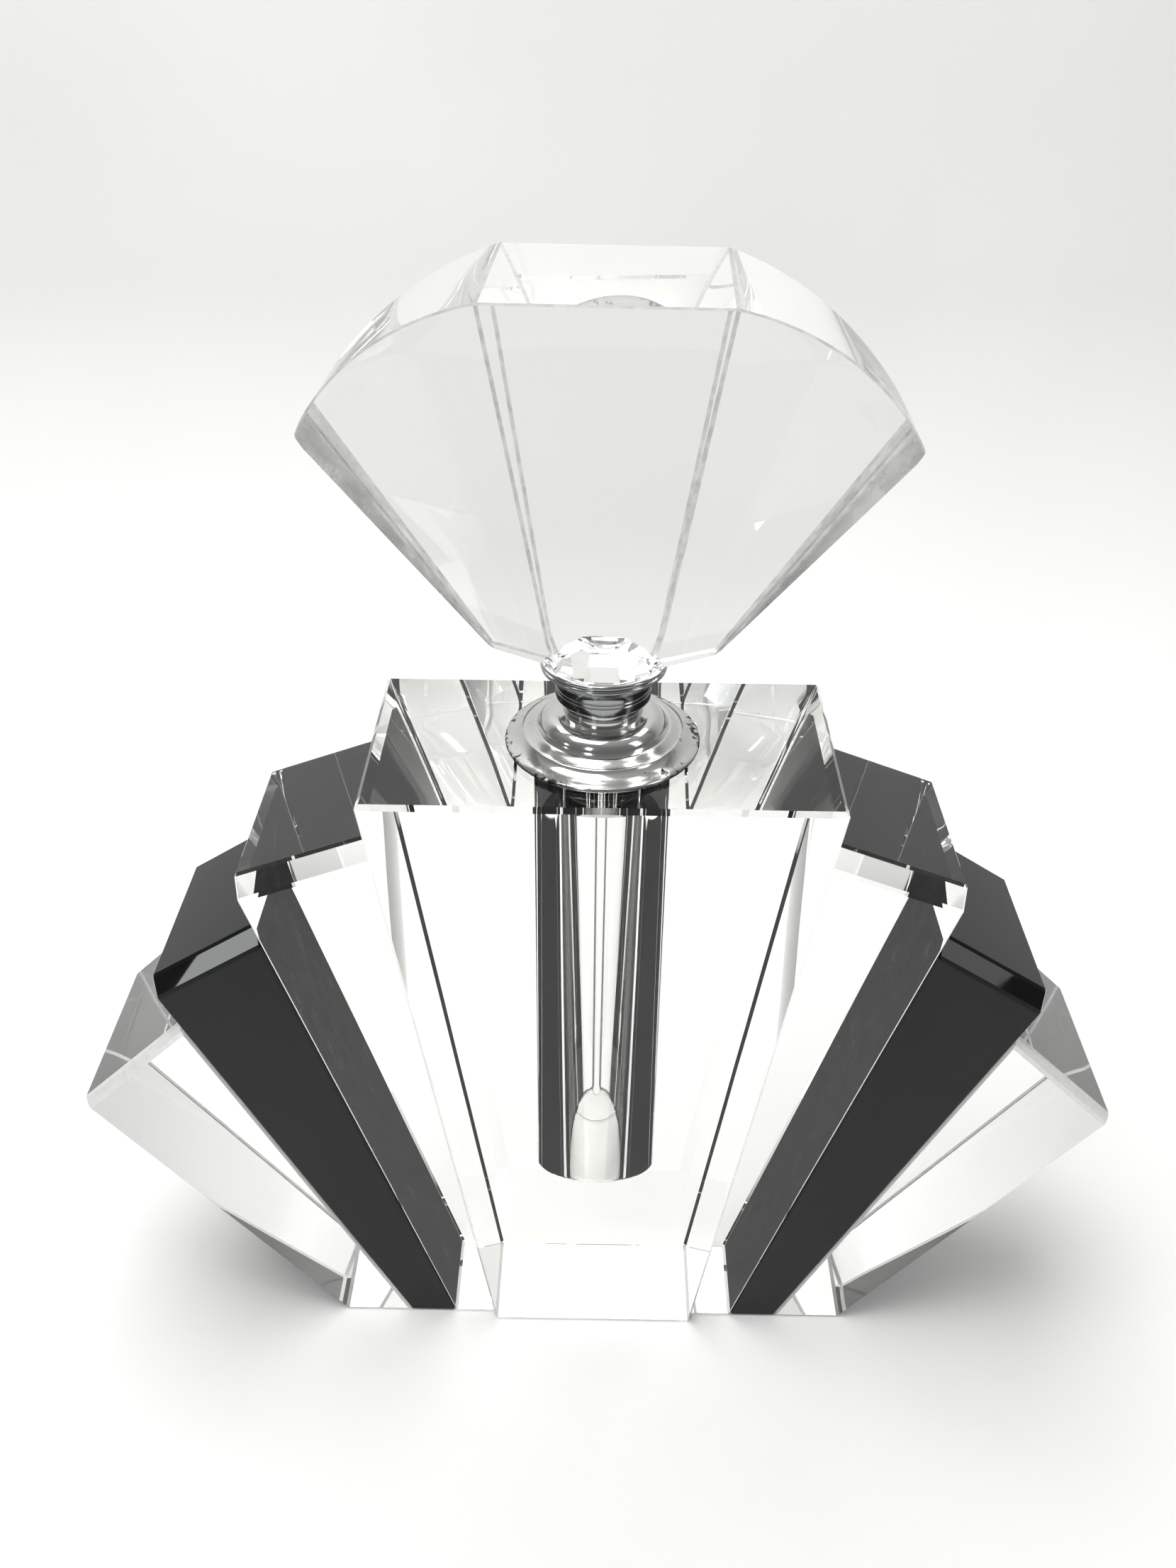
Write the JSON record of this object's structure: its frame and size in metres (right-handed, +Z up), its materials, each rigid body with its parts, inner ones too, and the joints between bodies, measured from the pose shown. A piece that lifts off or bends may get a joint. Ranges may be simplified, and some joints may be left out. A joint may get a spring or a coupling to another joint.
{
  "type": "crystal dauber scent bottle",
  "caption": "Fan-shaped scent bottle of glued clear and black crystal blocks with a drilled well, a chrome collar and a screw-in crystal fan stopper carrying a glass dauber rod.",
  "frame": {"origin": "on the table, under the middle of the centre block's foot", "axes": "+Z up, +X to the right along the fan of wings, the front faces -Y"},
  "size_m": [0.1314, 0.028, 0.1422],
  "materials": {
    "clear_crystal": "cut, ground and polished clear crystal",
    "black_crystal": "cut, ground and polished black crystal",
    "chrome": "bright chrome plate with light wear",
    "seal_plastic": "plain moulded, milky white",
    "rod_glass": "fire-polished clear rod"
  },
  "bodies": {
    "bottle": {"centre_block": "clear_crystal", "inner_wing_left": "clear_crystal", "inner_wing_right": "clear_crystal", "black_wing_left": "black_crystal", "black_wing_right": "black_crystal", "outer_wing_left": "clear_crystal", "outer_wing_right": "clear_crystal", "collar": "chrome"},
    "seal": {"sealing_washer": "seal_plastic"},
    "stopper": {"stopper_cup": "chrome", "rod_plug": "seal_plastic", "dauber_rod": "rod_glass", "crystal_fan": "clear_crystal"}
  },
  "joints": [
    {"name": "lift_off", "type": "slide", "parent": "bottle", "child": "seal", "axis": [0, 0, 1], "range_m": [0, 0.07]},
    {"name": "unscrew", "type": "hinge", "parent": "seal", "child": "stopper", "pos_m": [0, 0, 0.096], "axis": [0, 0, 1], "range_deg": [0, 540]}
  ]
}
